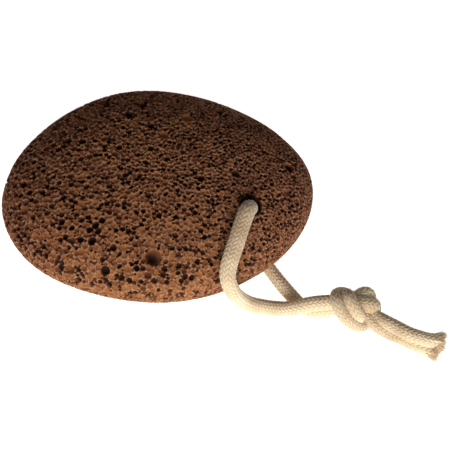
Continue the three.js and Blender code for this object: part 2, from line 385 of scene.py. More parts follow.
def makeCordHalf(name, half):
    # rings of the cord's radius round its line, raised by the braid and flattened where it lies;
    # brown dust and painted shade near the hole, and again on the knot and tails, handling dirt and
    # painted shade both
    settings = cordSettings
    coarser = 1
    line, _ = evenSteps(curveThrough(half["route"]), settings["softenStep"])
    line = softened(line, settings["softenStep"], settings["soften"])
    line, places = evenSteps(line, settings["step"] * coarser)
    total = places[-1]
    ahead, side, over = carriedFrames(line)
    columns = settings["around"] // coarser
    around = np.arange(columns) / columns
    angle = 2 * math.pi * around
    radius = radiusAlong(half, places)
    for point, extra, reach in half["swollen"]:
        away = np.linalg.norm(line - np.array(half["route"][point]), axis=1)
        radius = radius + extra * np.exp(-(((places - places[away.argmin()]) / reach) ** 2))
    height = braidHeight(places[:, None], around[None, :])
    sway = np.sin(places / 2.3 + 2 * np.sin(places / 5.1))[:, None]
    uneven = settings["uneven"] * sway * np.sin(angle + places[:, None] / 9)
    reach = radius[:, None] + settings["stitchDepth"] * (height - 1) + uneven
    fray = smoothStep(total - settings["frayLength"], total, places)[:, None]
    lobes = 0.5 + 0.3 * np.sin(5 * angle + 1.3) + 0.2 * np.sin(9 * angle)
    reach = reach + fray * settings["frayWidth"] * lobes
    turned = angle[None, :, None]
    outward = np.cos(turned) * side[:, None, :] + np.sin(turned) * over[:, None, :]
    offset = reach[..., None] * outward
    if half["onStone"]:
        # lying on the stone the cord is flattened towards it, and sags onto it by as much
        meets, lies, lifts, leaves = half["onStone"]
        lying = smoothStep(meets, lies, places) * (1 - smoothStep(lifts, leaves, places))
        normal = skinNormals(line)[:, None, :]
        inward = (offset * normal).sum(axis=2, keepdims=True)
        flat = lying[:, None, None]
        wider = 1 + settings["widened"] * flat
        offset = offset * wider - normal * inward * settings["flattened"] * flat
        line = line - normal[:, 0, :] * (settings["sagged"] * lying)[:, None]
    rings = line[:, None, :] + offset
    # the table presses it flat from below
    below = rings[..., 2] - settings["pressedBelow"]
    room = settings["pressedBelow"] - settings["lowest"]
    pressed = settings["lowest"] + room * np.exp(below / room)
    rings[..., 2] = np.where(below < 0, pressed, rings[..., 2])
    ends = np.stack([line[0], line[-1] + settings["endBulge"] * ahead[-1]])
    vertices = np.vstack([rings.reshape(-1, 3), ends])
    count = len(line)
    piece = makeObject(name, vertices, shellFaces(count, columns))
    # brown dust and painted shade near the hole, and again on the knot and tails up to near the cut
    # end
    rubbedDustAndShade = half["nearHoleDustAndShade"] * (1 - smoothStep(*settings["dustAndShadeFade"], places))
    knotDustAndShade = settings["knotDustAndShade"] * smoothStep(*settings["knotDustAndShadeFrom"], places)
    fading, clean = settings["knotDustAndShadeUntil"]
    knotDustAndShade = knotDustAndShade * (1 - smoothStep(total - fading, total - clean, places))
    for attribute, values, atEnds in (
        ("stitch", height, [0.5, 0.3]),
        ("cutEnd", fray, [0, 1]),
        ("dustAndShade", (rubbedDustAndShade + knotDustAndShade)[:, None], [1, 0]),
    ):
        values = np.broadcast_to(values, height.shape).ravel()
        giveValues(piece, attribute, np.concatenate([values, atEnds]))
    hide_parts("cord")
    print(name, "length", round(total, 1), "mm, triangles", 2 * count * columns)
    return piece, line, ahead, side, over, radius


def declareCord(half):
    # turns the half's line into metres and keeps nothing
    piece, line = half[:2]
    (line * mm).tolist()


upperHalf = makeCordHalf("cord_upper", upperSettings)
lowerHalf = makeCordHalf("cord_lower", lowerSettings)
print("cords laid")


# Stone: a foam of cut cells sinks its skin, and the hole is bored last
stoneSettings = {
    "grid": (500, 1240),  # rows and columns
    "draftGrid": (300, 740),
    "triangles": 194000,
    "keepAbove": 11,  # the stone shows above this height
    "keepBefore": -18,  # and where its y is below this
    "keepWeight": 0.5,
    "keepStrength": 0.0002,
    "poreTries": 425,
    "poreLeast": 0.95,
    "poreMost": 2.1,
    "poreCoarseEnd": 0.25,
    "poreShare": 0.68,  # of the solid's radius
    "poreRoom": 3,
    "poresAbove": 2.6,
    "fineFrom": 6,
    "cellMost": 0.78,
    "cellLeast": 0.3,
    "lowLeast": 0.48,  # least radius where the stone shows less
    "cellSizes": 14,
    "cellThrows": 10800,
    "cellSpread": (0.85, 1.1),
    "cellsAbove": 1.2,
    "cellFine": 0.78,
    "cellCoarser": 0.34,
    "coarserSpan": (-38, 22),  # distances towards the wide end over which the foam gets coarser
    "coarserSlant": 0.35,
    "wideLands": 0.25,
    "wall": 0.02,
    "deepLeast": 0.45,  # depths as shares of a cell's radius
    "deepMore": 1.25,
    "openSkew": 1.85,
    "openMiddle": 0.6,
    "skewLimits": (0.5, 1.6),
    "steep": 0.78,
    "steepFall": 0.34,
    "steepLimits": (0.36, 0.6),
    # painted shade of each bowl: darker the deeper it is, from just inside its edge
    "darkSpan": (0.35, 1.45),
    "darkRise": 4,  # how soon a dark bowl darkens from its edge
    "overlap": 1.12,
    "lean": 0.2,
    "bend": 0.13,
    "wear": 0.16,
    "clearRound": (3.5, 6.2),  # no cells this near the hole's axis, above and below
    "clearFade": 0.4,
    "seed": 21,
}

# wide pores that the picture shows: x, y, radius, and depth as a share of the radius
openPores = [
    (-42.6, -1.7, 1.2, 1.5), (-40.3, -5.1, 1, 1.5), (-23.9, 11.8, 1.15, 1.5),
    (-28.6, 13.1, 1, 1.3), (-30.1, 10.6, 0.9, 1.3), (-12, 8.5, 1, 1.3), (-1.8, 7.8, 1, 1.4),
    (-5.1, 26.7, 1.2, 1.3), (20.1, 24.8, 1.2, 1.4), (3.3, 3.8, 0.9, 1.2), (-3.3, 2.5, 0.9, 1.2),
    (14.1, -3.1, 1.1, 1.5), (25.1, -0.8, 1.2, 1.1), (42.5, 4.4, 1.35, 1.5),
    (-29.3, -16.7, 1.1, 1.4), (-18.5, -18.5, 1.1, 1.6), (-20.3, -19.9, 1, 1.7),
    (-19.5, -23.4, 1.2, 1.5), (-25.8, -22.8, 1.05, 1), (-0.3, -28.9, 2.4, 0.85),
    (-15.3, -31.9, 1.4, 1.3), (-14.2, -35.3, 1, 1.5), (-34.4, -25.8, 0.95, 1.5),
    (-10.3, -34, 1, 1.4), (-7.8, -34.8, 0.95, 1.4), (-1.9, -33.7, 1.1, 1),
    (-29.6, -29.6, 1, 1.5), (-26.7, -30.5, 1.5, 0.8), (-41.8, -10.9, 1.5, 0.6),
    (9.3, 20.5, 1.6, 0.5), (-12.7, -25.7, 1, 1.2), (-16.5, -17.2, 1, 1.4),
    (-22.6, -26.3, 1, 0.6), (-17.6, -20.4, 1, 1.2), (-19.3, -27.7, 1, 0.5),
]


def skinGrid(rows, columns):
    # rows at even distances from the top of the stone to its sole, columns all the way round
    turns = np.linspace(0, 2 * math.pi, columns, endpoint=False)
    turn, climb = np.meshgrid(turns, climbAtRow(np.arange(rows), rows))
    poles = skinPoint(np.zeros(2), np.array([math.pi / 2, -math.pi / 2]))
    return np.vstack([skinPoint(turn, climb).reshape(-1, 3), poles])


# the profile at one turn tells how far a climb lies from the top, measured along the skin
profileTurn = 0.8
profileClimb = np.linspace(math.pi / 2, -math.pi / 2, 4001)
profileLine = skinPoint(np.full_like(profileClimb, profileTurn), profileClimb)
profileSteps = np.linalg.norm(np.diff(profileLine, axis=0), axis=1)
profileAlong = np.concatenate([[0], np.cumsum(profileSteps)])


def climbAtRow(row, rows):
    return np.interp((row + 1) / (rows + 1) * profileAlong[-1], profileAlong, profileClimb)


def rowAtClimb(climb, rows):
    return np.interp(-climb, -profileClimb, profileAlong) / profileAlong[-1] * (rows + 1) - 1


def skinRoom(x, y, height):
    # how much a direction's patch of skin is wider than the same patch of a ball
    return np.sqrt(
        (x * formSettings["thickness"] / formSettings["length"]) ** 2
        + (y * formSettings["thickness"] / formSettings["width"]) ** 2
        + height**2
    )


def widePores():
    # the pores that the picture shows, and scattered ones clear of them at the solid's own places:
    # a golden spiral over the skin, thinned by room, with none on the fine foam round the hole's
    # upper mouth
    settings = stoneSettings
    number = np.arange(settings["poreTries"])
    height = 1 - 2 * (number + 0.5) / settings["poreTries"]
    level = np.sqrt(1 - height**2)
    turn = number * math.pi * (3 - math.sqrt(5)) + scatter(number) * 0.3
    x, y = np.cos(turn) * level, np.sin(turn) * level
    points = skinPoint(np.arctan2(y, x), np.arcsin(height))
    coarse = 1 - settings["poreCoarseEnd"] * (points[:, 0] + points[:, 1]) / formSettings["length"]
    spread = (settings["poreMost"] - settings["poreLeast"]) * scatter(number + 0.5) ** 3
    radii = (settings["poreLeast"] + spread) * coarse
    chosen = np.array(openPores)
    seen = topOver(chosen[:, 0], chosen[:, 1])
    kept = scatter(number + 0.7) < skinRoom(x, y, height)
    kept &= points[:, 2] > settings["poresAbove"]
    kept &= (points[:, 0] < settings["fineFrom"]) | (points[:, 2] < middleHeight)
    kept = np.flatnonzero(kept)
    room = settings["poreRoom"]
    kept = kept[[np.linalg.norm(seen - points[i], axis=1).min() > room for i in kept]]
    places = np.vstack([seen, points[kept]])
    radii = np.concatenate([chosen[:, 2], radii[kept] * settings["poreShare"]])
    return places, radii, np.concatenate([chosen[:, 3], 0.5 + scatter(kept + 0.3)])


def shows(points):
    # the upper part of the stone and its front, which keep the finest cells and most triangles
    settings = stoneSettings
    return (points[:, 2] > settings["keepAbove"]) | (points[:, 1] < settings["keepBefore"])


def packedCells():
    # cells are thrown at the skin from wide to small, and one stays where it clears the rest;
    # a wide one lands less often, and is more often shallow
    settings = stoneSettings
    chance = np.random.default_rng(settings["seed"])
    places, radii, deeps = (list(values) for values in widePores())
    wall = settings["wall"]
    bucket = 1.3
    held = {}

    def bucketsOf(place, reach):
        # the cubes of space that a ball reaches into
        spans = [
            range(math.floor((at - reach) / bucket), math.floor((at + reach) / bucket) + 1)
            for at in place
        ]
        return itertools.product(*spans)

    for i, (place, radius) in enumerate(zip(places, radii)):
        for key in bucketsOf(place, radius):
            held.setdefault(key, []).append(i)
    for size in np.geomspace(settings["cellMost"], settings["cellLeast"], settings["cellSizes"]):
        throws = int(settings["cellThrows"] / size**2)
        height = chance.uniform(-1, 1, throws)
        turn = chance.uniform(0, 2 * math.pi, throws)
        level = np.sqrt(1 - height**2)
        x, y = np.cos(turn) * level, np.sin(turn) * level
        points = skinPoint(turn, np.arcsin(height))
        away = -points[:, 0] - settings["coarserSlant"] * points[:, 1]
        coarser = settings["cellCoarser"] * smoothStep(*settings["coarserSpan"], away)
        coarse = settings["cellFine"] + coarser
        reach = size * coarse * chance.uniform(*settings["cellSpread"], throws)
        reach = np.maximum(reach, settings["cellLeast"])
        landed = chance.uniform(0, 1, throws) < skinRoom(x, y, height)
        landed &= points[:, 2] > settings["cellsAbove"]
        often = settings["cellLeast"] / size + settings["wideLands"]
        landed &= chance.uniform(0, 1, throws) < often
        landed &= (reach > settings["lowLeast"]) | shows(points)
        for place, radius in zip(points[landed].tolist(), reach[landed].tolist()):
            keys = list(bucketsOf(place, radius))
            near = set().union(*(held.get(key, ()) for key in keys))
            if all(math.dist(place, places[i]) > radius + radii[i] + wall for i in near):
                for key in keys:
                    held.setdefault(key, []).append(len(places))
                places.append(place)
                radii.append(radius)
    rest = np.array(radii[len(deeps):])
    skew = settings["openSkew"] * np.clip(rest / settings["openMiddle"], *settings["skewLimits"])
    more = settings["deepMore"] * chance.uniform(0, 1, len(rest)) ** skew
    deeps += (settings["deepLeast"] + more).tolist()
    return np.array(places), np.array(radii), np.array(deeps)


def sinkCells(points, rows, columns):
    # a cell is a bowl as deep as its own share of its width, leaning a little to one side; its row
    # and column and its reach over them give the window of grid points that it may sink
    settings = stoneSettings
    chance = np.random.default_rng(settings["seed"] + 1)
    places, radii, deeps = packedCells()
    turns, shares = planTurn(places[:, 0], places[:, 1])
    rises = np.clip((places[:, 2] - middleHeight) / halfHeight, -1, 1)
    power = formSettings["fullness"] / 2
    climbs = np.arctan2(np.sign(rises) * np.abs(rises) ** power, np.maximum(shares, 0) ** power)
    rowStep = profileAlong[-1] / (rows + 1)
    middleRow = rowAtClimb(climbs, rows)
    middleColumn = turns / (2 * math.pi) * columns
    # rows count as a little short, and a cell's reach as long, so that no window is too narrow
    rowLength = np.maximum(np.cos(climbs), 0.002) * formSettings["width"] * math.pi * 0.92
    steeps = settings["steep"] - settings["steepFall"] * deeps
    steeps = np.clip(steeps, *settings["steepLimits"])
    leans = chance.normal(0, settings["lean"], (len(radii), 3))
    depth, paintedPoreShade = np.zeros(len(points)), np.zeros(len(points))
    darks = smoothStep(*settings["darkSpan"], deeps)
    radii = radii * settings["overlap"]
    waves = np.sin(points[:, [1, 2, 0]] * 3.1 + 2 * np.sin(points[:, [2, 0, 1]] * 1.7))
    bent = points + settings["bend"] * waves
    for place, radius, row, column, length, deep, dark, steep, lean in zip(
        places, radii, middleRow, middleColumn, rowLength, deeps * radii, darks, steeps, leans
    ):
        rowReach = math.ceil(radius / rowStep) + 2
        columnReach = min(math.ceil(radius * 1.6 / length * columns) + 2, columns // 2)
        rowRange = np.arange(max(int(row) - rowReach, 0), min(int(row) + rowReach + 1, rows))
        columnRange = np.arange(int(column) - columnReach, int(column) + columnReach + 1) % columns
        window = (rowRange[:, None] * columns + columnRange).ravel()
        away = (bent[window] - place) / radius
        share = 1 - (away**2).sum(axis=1)
        inside = share > 0
        window, away, share = window[inside], away[inside], share[inside]
        bowl = deep * share**steep * (1 + away @ lean)
        depth[window] = np.maximum(depth[window], bowl)
        # painted shade in the bowl, darker the deeper the bowl, from just inside its edge
        shade = dark * np.minimum(share * settings["darkRise"], 1)
        paintedPoreShade[window] = np.maximum(paintedPoreShade[window], shade)
    print("cells", len(radii))
    return depth, paintedPoreShade


def wearOf(points):
    # slow uneven wear: the product of a few slanted waves, and none at the very foot
    x, y, z = points.T
    waves = np.sin(x / 7.3 + np.sin(y / 5.9)) * np.sin(y / 6.7 + np.sin(z / 4.1 + x / 9.7))
    return stoneSettings["wear"] * (1 + waves * np.cos(z / 5.3)) * smoothStep(0, 2, z)


plugSettings = {
    "columns": 64,
    "wallRows": 24,
    "mouthRows": 7,
    "past": 6,  # how far it stands out of both mouths
    "rough": 0.02,
}


def borePlug():
    # a round plug turned on the hole's axis, flared where each mouth is worn round
    form, settings = formSettings, plugSettings
    radius, columns, past = form["boreRadius"], settings["columns"], settings["past"]
    low, lowRound = form["bottomMouth"]
    high, highRound = form["topMouth"]
    angle = np.linspace(0, math.pi / 2, settings["mouthRows"])

    def flare(mouth, rounding):
        # a quarter circle from the bore's wall out to the mouth's height
        out = radius + abs(rounding) * (1 - np.cos(angle))
        return np.stack([out, mouth + rounding * (1 - np.sin(angle))], axis=1)

    lower, upper = flare(low, lowRound), flare(high, -highRound)
    wallRows = settings["wallRows"]
    rise = np.linspace(low + lowRound, high - highRound, wallRows + 2)[1:-1]
    wall = np.stack([np.full(wallRows, radius), rise], axis=1)
    foot, head = [[lower[-1, 0] + 1, low - past]], [[upper[-1, 0] + 1, high + past]]
    profile = np.vstack([foot, lower[::-1], wall, upper, head])
    out, height = profile[:, :1], profile[:, 1:]
    turn = np.linspace(0, 2 * math.pi, columns, endpoint=False)[None, :]
    rough = 1 + settings["rough"] * np.sin(3 * turn + height) * np.cos(5 * turn - height * 0.7)
    worn = form["mouthWorn"] * smoothStep(*form["mouthWornFrom"], height)
    x = form["holeX"] + worn * form["mouthLean"] + out * rough * np.cos(turn)
    y = form["holeY"] + worn + out * rough * np.sin(turn)
    z = np.broadcast_to(height, x.shape)
    rings = np.stack([x, y, z], axis=-1).reshape(-1, 3)
    axis = [[form["holeX"], form["holeY"], z] for z in (low - past, high + past)]
    faces = shellFaces(len(profile), columns)
    return makeObject("plug", np.vstack([rings, axis]), faces, body=None)


def settle(piece):
    # the piece with its modifiers worked in
    graph = bpy.context.evaluated_depsgraph_get()
    mesh = bpy.data.meshes.new_from_object(piece.evaluated_get(graph), depsgraph=graph)
    old = piece.data
    piece.modifiers.clear()
    piece.data = mesh
    mesh.name = piece.name
    bpy.data.meshes.remove(old)


def makeStone():
    # the skin sinks by its cells and its wear, is thinned most where it shows least, and is bored
    settings = stoneSettings
    rows, columns = settings["grid"]
    points = skinGrid(rows, columns)
    normals = skinNormals(points)
    normals[-2:] = [[0, 0, 1], [0, 0, -1]]
    onSole = points[:, 2] < 0
    points[:, 2] = np.maximum(points[:, 2], 0)
    normals[onSole] = (0, 0, -1)
    depth, paintedPoreShade = sinkCells(points, rows, columns)
    fromHole = np.hypot(points[:, 0] - formSettings["holeX"], points[:, 1] - formSettings["holeY"])
    clear = np.where(points[:, 2] > middleHeight, *settings["clearRound"])
    depth *= smoothStep(clear, clear + settings["clearFade"], fromHole)
    points = points - normals * (depth + wearOf(points))[:, None]
    print("pores sunk")
    piece = makeObject("lava_stone", points, shellFaces(rows, columns, flip=True))
    # each vertex's painted shade of the bowls, which the lava's colour reads
    giveValues(piece, "pore_shade", paintedPoreShade)
    plug = borePlug()
    thin = piece.modifiers.new("thin", "DECIMATE")
    thin.ratio = min(1, settings["triangles"] / (2 * rows * columns))
    heavy = piece.vertex_groups.new(name="heavy")
    seen = shows(points)
    heavy.add(np.flatnonzero(seen).tolist(), settings["keepWeight"], "REPLACE")
    heavy.add(np.flatnonzero(~seen).tolist(), 1, "REPLACE")
    thin.vertex_group = "heavy"
    thin.vertex_group_factor = settings["keepStrength"]
    bore = piece.modifiers.new("bore", "BOOLEAN")
    bore.operation = "DIFFERENCE"
    bore.solver = "EXACT"
    bore.object = plug
    settle(piece)
    bpy.data.objects.remove(plug)
    print("stone bored, triangles", sum(len(face.vertices) - 2 for face in piece.data.polygons))
    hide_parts("stone")
    return piece


stone = makeStone()


def markDepths(piece):
    # how far each vertex lies under the smooth skin, in millimetres
    flat = np.empty(len(piece.data.vertices) * 3, dtype=np.float64)
    piece.data.vertices.foreach_get("co", flat)
    points = flat.reshape(-1, 3) / mm
    slope = np.linalg.norm(skinSlope(points), axis=1)
    giveValues(piece, "depth", (1 - skinLevel(points)) / slope - wearOf(points))


markDepths(stone)
print("stone made")


# Shader tools: Value wraps a socket so that expressions build Math nodes
class Value:
    def __init__(self, shader, socket):
        self.shader = shader
        self.socket = socket

    def combine(self, operation, first, second):
        node = self.shader.place("ShaderNodeMath", {"operation": operation}, {0: first, 1: second})
        return Value(self.shader, node.outputs[0])

    def __add__(self, other):
        return self.combine("ADD", self, other)

    def __radd__(self, other):
        return self.combine("ADD", other, self)

    def __sub__(self, other):
        return self.combine("SUBTRACT", self, other)

    def __rsub__(self, other):
        return self.combine("SUBTRACT", other, self)

    def __mul__(self, other):
        return self.combine("MULTIPLY", self, other)

    def __rmul__(self, other):
        return self.combine("MULTIPLY", other, self)

    def __pow__(self, other):
        return self.combine("POWER", self, other)

    def most(self, other):
        return self.combine("MAXIMUM", self, other)

    def between(self, low, high):
        # 0 below low, 1 above high, smooth in between
        sockets = {"Value": self, "From Min": low, "From Max": high}
        settings = {"interpolation_type": "SMOOTHSTEP"}
        node = self.shader.place("ShaderNodeMapRange", settings, sockets)
        return Value(self.shader, node.outputs[0])


class Shader:
    def __init__(self, name):
        self.material = bpy.data.materials.new(name)
        self.material.use_nodes = True
        self.nodes = self.material.node_tree.nodes
        self.links = self.material.node_tree.links
        self.surface = self.nodes["Principled BSDF"]
        self.where = self.place("ShaderNodeTexCoord").outputs["Object"]

    def place(self, kind, settings=None, sockets=None):
        # any node: its settings first, then the values or links of its sockets
        node = self.nodes.new(kind)
        for name, value in (settings or {}).items():
            setattr(node, name, value)
        for name, value in (sockets or {}).items():
            self.feed(node.inputs[name], value)
        return node

    def feed(self, target, value):
        if isinstance(value, Value):
            value = value.socket
        if isinstance(value, bpy.types.NodeSocket):
            self.links.new(value, target)
        else:
            target.default_value = value

    def attribute(self, name):
        node = self.place("ShaderNodeAttribute", {"attribute_name": name})
        return Value(self, node.outputs["Fac"])

    def noise(self, size, detail, roughness=0.5, where=None):
        # size is the pattern's grain in millimetres
        sockets = {"Vector": where or self.where, "Scale": 1 / (size * mm)}
        sockets.update({"Detail": detail, "Roughness": roughness})
        return Value(self, self.place("ShaderNodeTexNoise", None, sockets).outputs["Fac"])

    def cells(self, size, where):
        sockets = {"Vector": where, "Scale": 1 / (size * mm)}
        return self.place("ShaderNodeTexVoronoi", None, sockets)

    def pushed(self, size, detail, reach):
        # the place on the piece, pushed about by a noise, with its grain and reach in millimetres
        sockets = {"Vector": self.where, "Scale": 1 / (size * mm), "Detail": detail}
        push = self.place("ShaderNodeTexNoise", None, sockets).outputs["Color"]
        sockets = {0: push, "Scale": reach * mm}
        push = self.place("ShaderNodeVectorMath", {"operation": "SCALE"}, sockets).outputs[0]
        sockets = {0: self.where, 1: push}
        return self.place("ShaderNodeVectorMath", {"operation": "ADD"}, sockets).outputs[0]

    def split(self, kind, socket, source):
        # the single numbers that a colour or a vector is made of
        node = self.place(kind, None, {socket: source})
        return [Value(self, output) for output in node.outputs]

    def blend(self, share, first, second):
        node = self.place("ShaderNodeMix", {"data_type": "RGBA"}, {0: share, 6: first, 7: second})
        return node.outputs[2]

    def layer(self, colour, mask, limits, strength, tone):
        # a tone laid over the colour where the mask rises between its limits
        return self.blend(mask.between(*limits) * strength, colour, tone)

    def bump(self, height, distance, strength):
        sockets = {"Height": height, "Distance": distance * mm, "Strength": strength}
        return self.place("ShaderNodeBump", None, sockets).outputs["Normal"]

    def finish(self, colour, roughness, normal, **fixed):
        self.feed(self.surface.inputs["Base Color"], colour)
        self.feed(self.surface.inputs["Roughness"], roughness)
        self.feed(self.surface.inputs["Normal"], normal)
        for name, value in fixed.items():
            socket = name.replace("_", " ").title().replace("Ior", "IOR")
            self.surface.inputs[socket].default_value = value
        return self.material


def paint(red, green, blue):
    # a screen colour from 0 to 255 as the linear light that a shader takes
    levels = [value / 255 for value in (red, green, blue)]
    light = [((v + 0.055) / 1.055) ** 2.4 if v > 0.04045 else v / 12.92 for v in levels]
    return (*light, 1)


# Lava: a noise has its grain in millimetres, its detail and its roughness, and a layer has the
# limits between which it comes up and its strength
lavaSettings = {
    "rim": paint(178, 133, 103),
    "brown": paint(160, 101, 59),
    "paintedLightOchre": paint(162, 105, 57),
    "red": paint(122, 70, 43),
    # a dark brown for random mottle and grain, and for painted shade in middling bowls
    "deep": paint(92, 52, 32),
    # painted shade: the near-black of deep bowls, fine pores and the hole
    "pitShade": paint(42, 22, 14),
    "push": (1.3, 2, 0.4),  # grain, detail and reach of what bends the foam
    "foam": [(0.8, 0.36), (0.45, 0.34)],  # size of a cell, and the most that its pore takes
    "foamEdge": (-0.1, 0.06),
    "foamShade": 0.9,
    "patches": ((5, 4, 0.6), (0.35, 0.65)),
    # painted light and shade towards one side, the near side ochre and lighter, both ends red and
    # darker: axis, rise per metre, grain and share of its noise, limits, strength and colour
    "sideLightAndShade": [
        ("y", -24, 14, 0.9, (0.6, 1.5), 0.6, "paintedLightOchre"),
        ("x", 20, 10, 0.8, (0.7, 1.5), 0.75, "red"),
        ("x", -20, 12, 0.8, (0.7, 1.4), 0.6, "red"),
    ],
    "speckNoise": (0.6, 3, 0.7),
    "speckShare": 0.2,
    "speckHeight": 0.25,
    "mottleNoise": (1.1, 4, 0.7),
    "mottle": ((0.5, 0.68), 0.5),
    "rimDepths": (0.1, 0.28),
    "rimStrength": 0.6,
    "grainNoise": (0.45, 3, 0.7),
    "grain": ((0.5, 0.66), 0.4),
    "shallow": (0.1, 0.6),
    "poreShadeBrown": ((0.1, 0.6), 0.85),
    "poreShadeBlack": ((0.5, 1.05), 0.95),
    "depthShadeBlack": ((1.2, 2.6), 1),
    "holeShadeSpan": (3.3, 4),
    "holeShadeStrength": 0.95,
    "bump": (0.28, 0.9),
    "roughness": 0.93,
    "gloss": 0.2,
}


def lavaMaterial(settings):
    shader = Shader("porous_lava")
    depth = shader.attribute("depth")
    # fine foam: each cell holds a pore of its own size, bumped in and painted nearly black as shade
    pushed = shader.pushed(*settings["push"])
    pores = 0
    for cell, most in settings["foam"]:
        foam = shader.cells(cell, pushed)
        size = shader.split("ShaderNodeSeparateColor", "Color", foam.outputs["Color"])[0]
        away = Value(shader, foam.outputs["Distance"]) - size * most
        pores = (1 - away.between(*settings["foamEdge"])).most(pores)
    # colour: pale rims at the skin, brown bowls, and painted shade from dark brown to nearly black
    # in deep bowls and pores
    noise, limits = settings["patches"]
    patches = shader.noise(*noise).between(*limits)
    bowl = shader.blend(patches, settings["brown"], settings["red"])
    x, y, _ = shader.split("ShaderNodeSeparateXYZ", "Vector", shader.where)
    # painted light on the near side and painted shade at both ends
    for axis, rise, size, share, limits, strength, tone in settings["sideLightAndShade"]:
        side = (x if axis == "x" else y) * rise + shader.noise(size, 3) * share
        bowl = shader.layer(bowl, side, limits, strength, settings[tone])
    speck = shader.noise(*settings["speckNoise"])
    mottle = shader.noise(*settings["mottleNoise"], where=pushed)
    colour = shader.layer(bowl, mottle, *settings["mottle"], settings["deep"])
    rim = 1 - (depth + speck * settings["speckShare"]).between(*settings["rimDepths"])
    colour = shader.blend(rim * settings["rimStrength"], colour, settings["rim"])
    grain = shader.noise(*settings["grainNoise"])
    colour = shader.layer(colour, grain, *settings["grain"], settings["deep"])
    # painted shade in the fine pores, only where the skin is shallow
    foamed = pores * (1 - depth.between(*settings["shallow"]))
    colour = shader.blend(foamed * settings["foamShade"], colour, settings["pitShade"])
    # painted shade: dark brown in middling bowls, nearly black in deep ones
    paintedPoreShade = shader.attribute("pore_shade") + speck * settings["speckShare"]
    colour = shader.layer(colour, paintedPoreShade, *settings["poreShadeBrown"], settings["deep"])
    colour = shader.layer(colour, paintedPoreShade, *settings["poreShadeBlack"], settings["pitShade"])
    # painted shade, nearly black where the skin lies deepest
    colour = shader.layer(colour, depth, *settings["depthShadeBlack"], settings["pitShade"])
    # and painted shade in the hole, nearly black within a ring round its worn axis
    low, high = settings["holeShadeSpan"]
    worn = formSettings["mouthWorn"]
    across = x - (formSettings["holeX"] + worn * formSettings["mouthLean"]) * mm
    along = y - (formSettings["holeY"] + worn) * mm
    fromHole = (across * across + along * along) ** 0.5
    holeShade = 1 - fromHole.between(low * mm, high * mm)
    colour = shader.blend(holeShade * settings["holeShadeStrength"], colour, settings["pitShade"])
    normal = shader.bump(1 - foamed + speck * settings["speckHeight"], *settings["bump"])
    gloss = settings["gloss"]
    return shader.finish(colour, settings["roughness"], normal, specular_ior_level=gloss)


cottonSettings = {
    "ridge": paint(247, 226, 192),
    "grooveShade": paint(180, 144, 100),
    "shade": paint(214, 186, 144),
    "cut": paint(232, 206, 166),
    "dustAndShade": paint(150, 118, 84),
    "fibreNoise": (0.35, 4, 0.7),
    "patchNoise": (6, 3, 0.5),
    "patchLimits": (0.35, 0.7),
    "patchStrength": 0.5,
    "grooveShading": ((0.15, 0.95), 0.75),
    "fibres": ((0.45, 0.75), 0.3),
    "cutStrength": 0.4,
    "dustAndShadeStrength": 0.5,
    "dustAndShadePatches": 0.2,
    "bump": (0.12, 0.5),
    "roughness": 0.95,
    "gloss": 0.15,
    "sheen": 0.3,
    "sheenRoughness": 0.5,
}


def cottonMaterial(settings):
    # pale ridges, painted shade in the grooves between the stitches, single fibres, and brown dust
    # and painted shade where the cord is browned
    shader = Shader("braided_cotton")
    stitch = shader.attribute("stitch")
    fibre = shader.noise(*settings["fibreNoise"])
    patch = shader.noise(*settings["patchNoise"]).between(*settings["patchLimits"])
    colour = shader.blend(patch * settings["patchStrength"], settings["ridge"], settings["shade"])
    # painted shade in the grooves between the stitches
    colour = shader.layer(colour, 1 - stitch, *settings["grooveShading"], settings["grooveShade"])
    colour = shader.layer(colour, fibre, *settings["fibres"], settings["shade"])
    cutEnd = shader.attribute("cutEnd") * settings["cutStrength"]
    colour = shader.blend(cutEnd, colour, settings["cut"])
    # brown dust and painted shade where the cord is browned
    dustAndShade = shader.attribute("dustAndShade") * (settings["dustAndShadeStrength"] + patch * settings["dustAndShadePatches"])
    colour = shader.blend(dustAndShade, colour, settings["dustAndShade"])
    return shader.finish(
        colour, settings["roughness"], shader.bump(fibre, *settings["bump"]),
        specular_ior_level=settings["gloss"],
        sheen_weight=settings["sheen"], sheen_roughness=settings["sheenRoughness"],
    )


stone.data.materials.append(lavaMaterial(lavaSettings))
cotton = cottonMaterial(cottonSettings)
for half in (upperHalf, lowerHalf):
    half[0].data.materials.append(cotton)
print("materials made")


# Frayed ends: short loose fibres that leave the cut end of each half
fraySettings = {
    "count": 1100,
    "back": 3,  # how far back in the cord a strand may start
    "backLeast": 0.2,
    "reach": 1.1,
    "reachSkew": 1.5,
    "proud": 0.1,
    "spread": 0.2,
    "stray": 0.08,
    "bend": 0.25,
    "bendStray": 0.1,
    "thickness": 0.1,
    "seed": 5,
}
tuftSettings = {
    "aim": (0.97, 0.25, 0.1),
    "count": 190,
    "length": 2.1,
    "lengthLeast": 0.5,
    "stray": 0.07,
    "bend": 0.05,
}
strandSettings = {
    "steps": 5,
    "taper": 0.6,
    "slant": (0.31, 0.52, 0.79),  # any direction that no strand follows
    "corners": (0, 2.094, 4.189),  # turns of its three corners
}


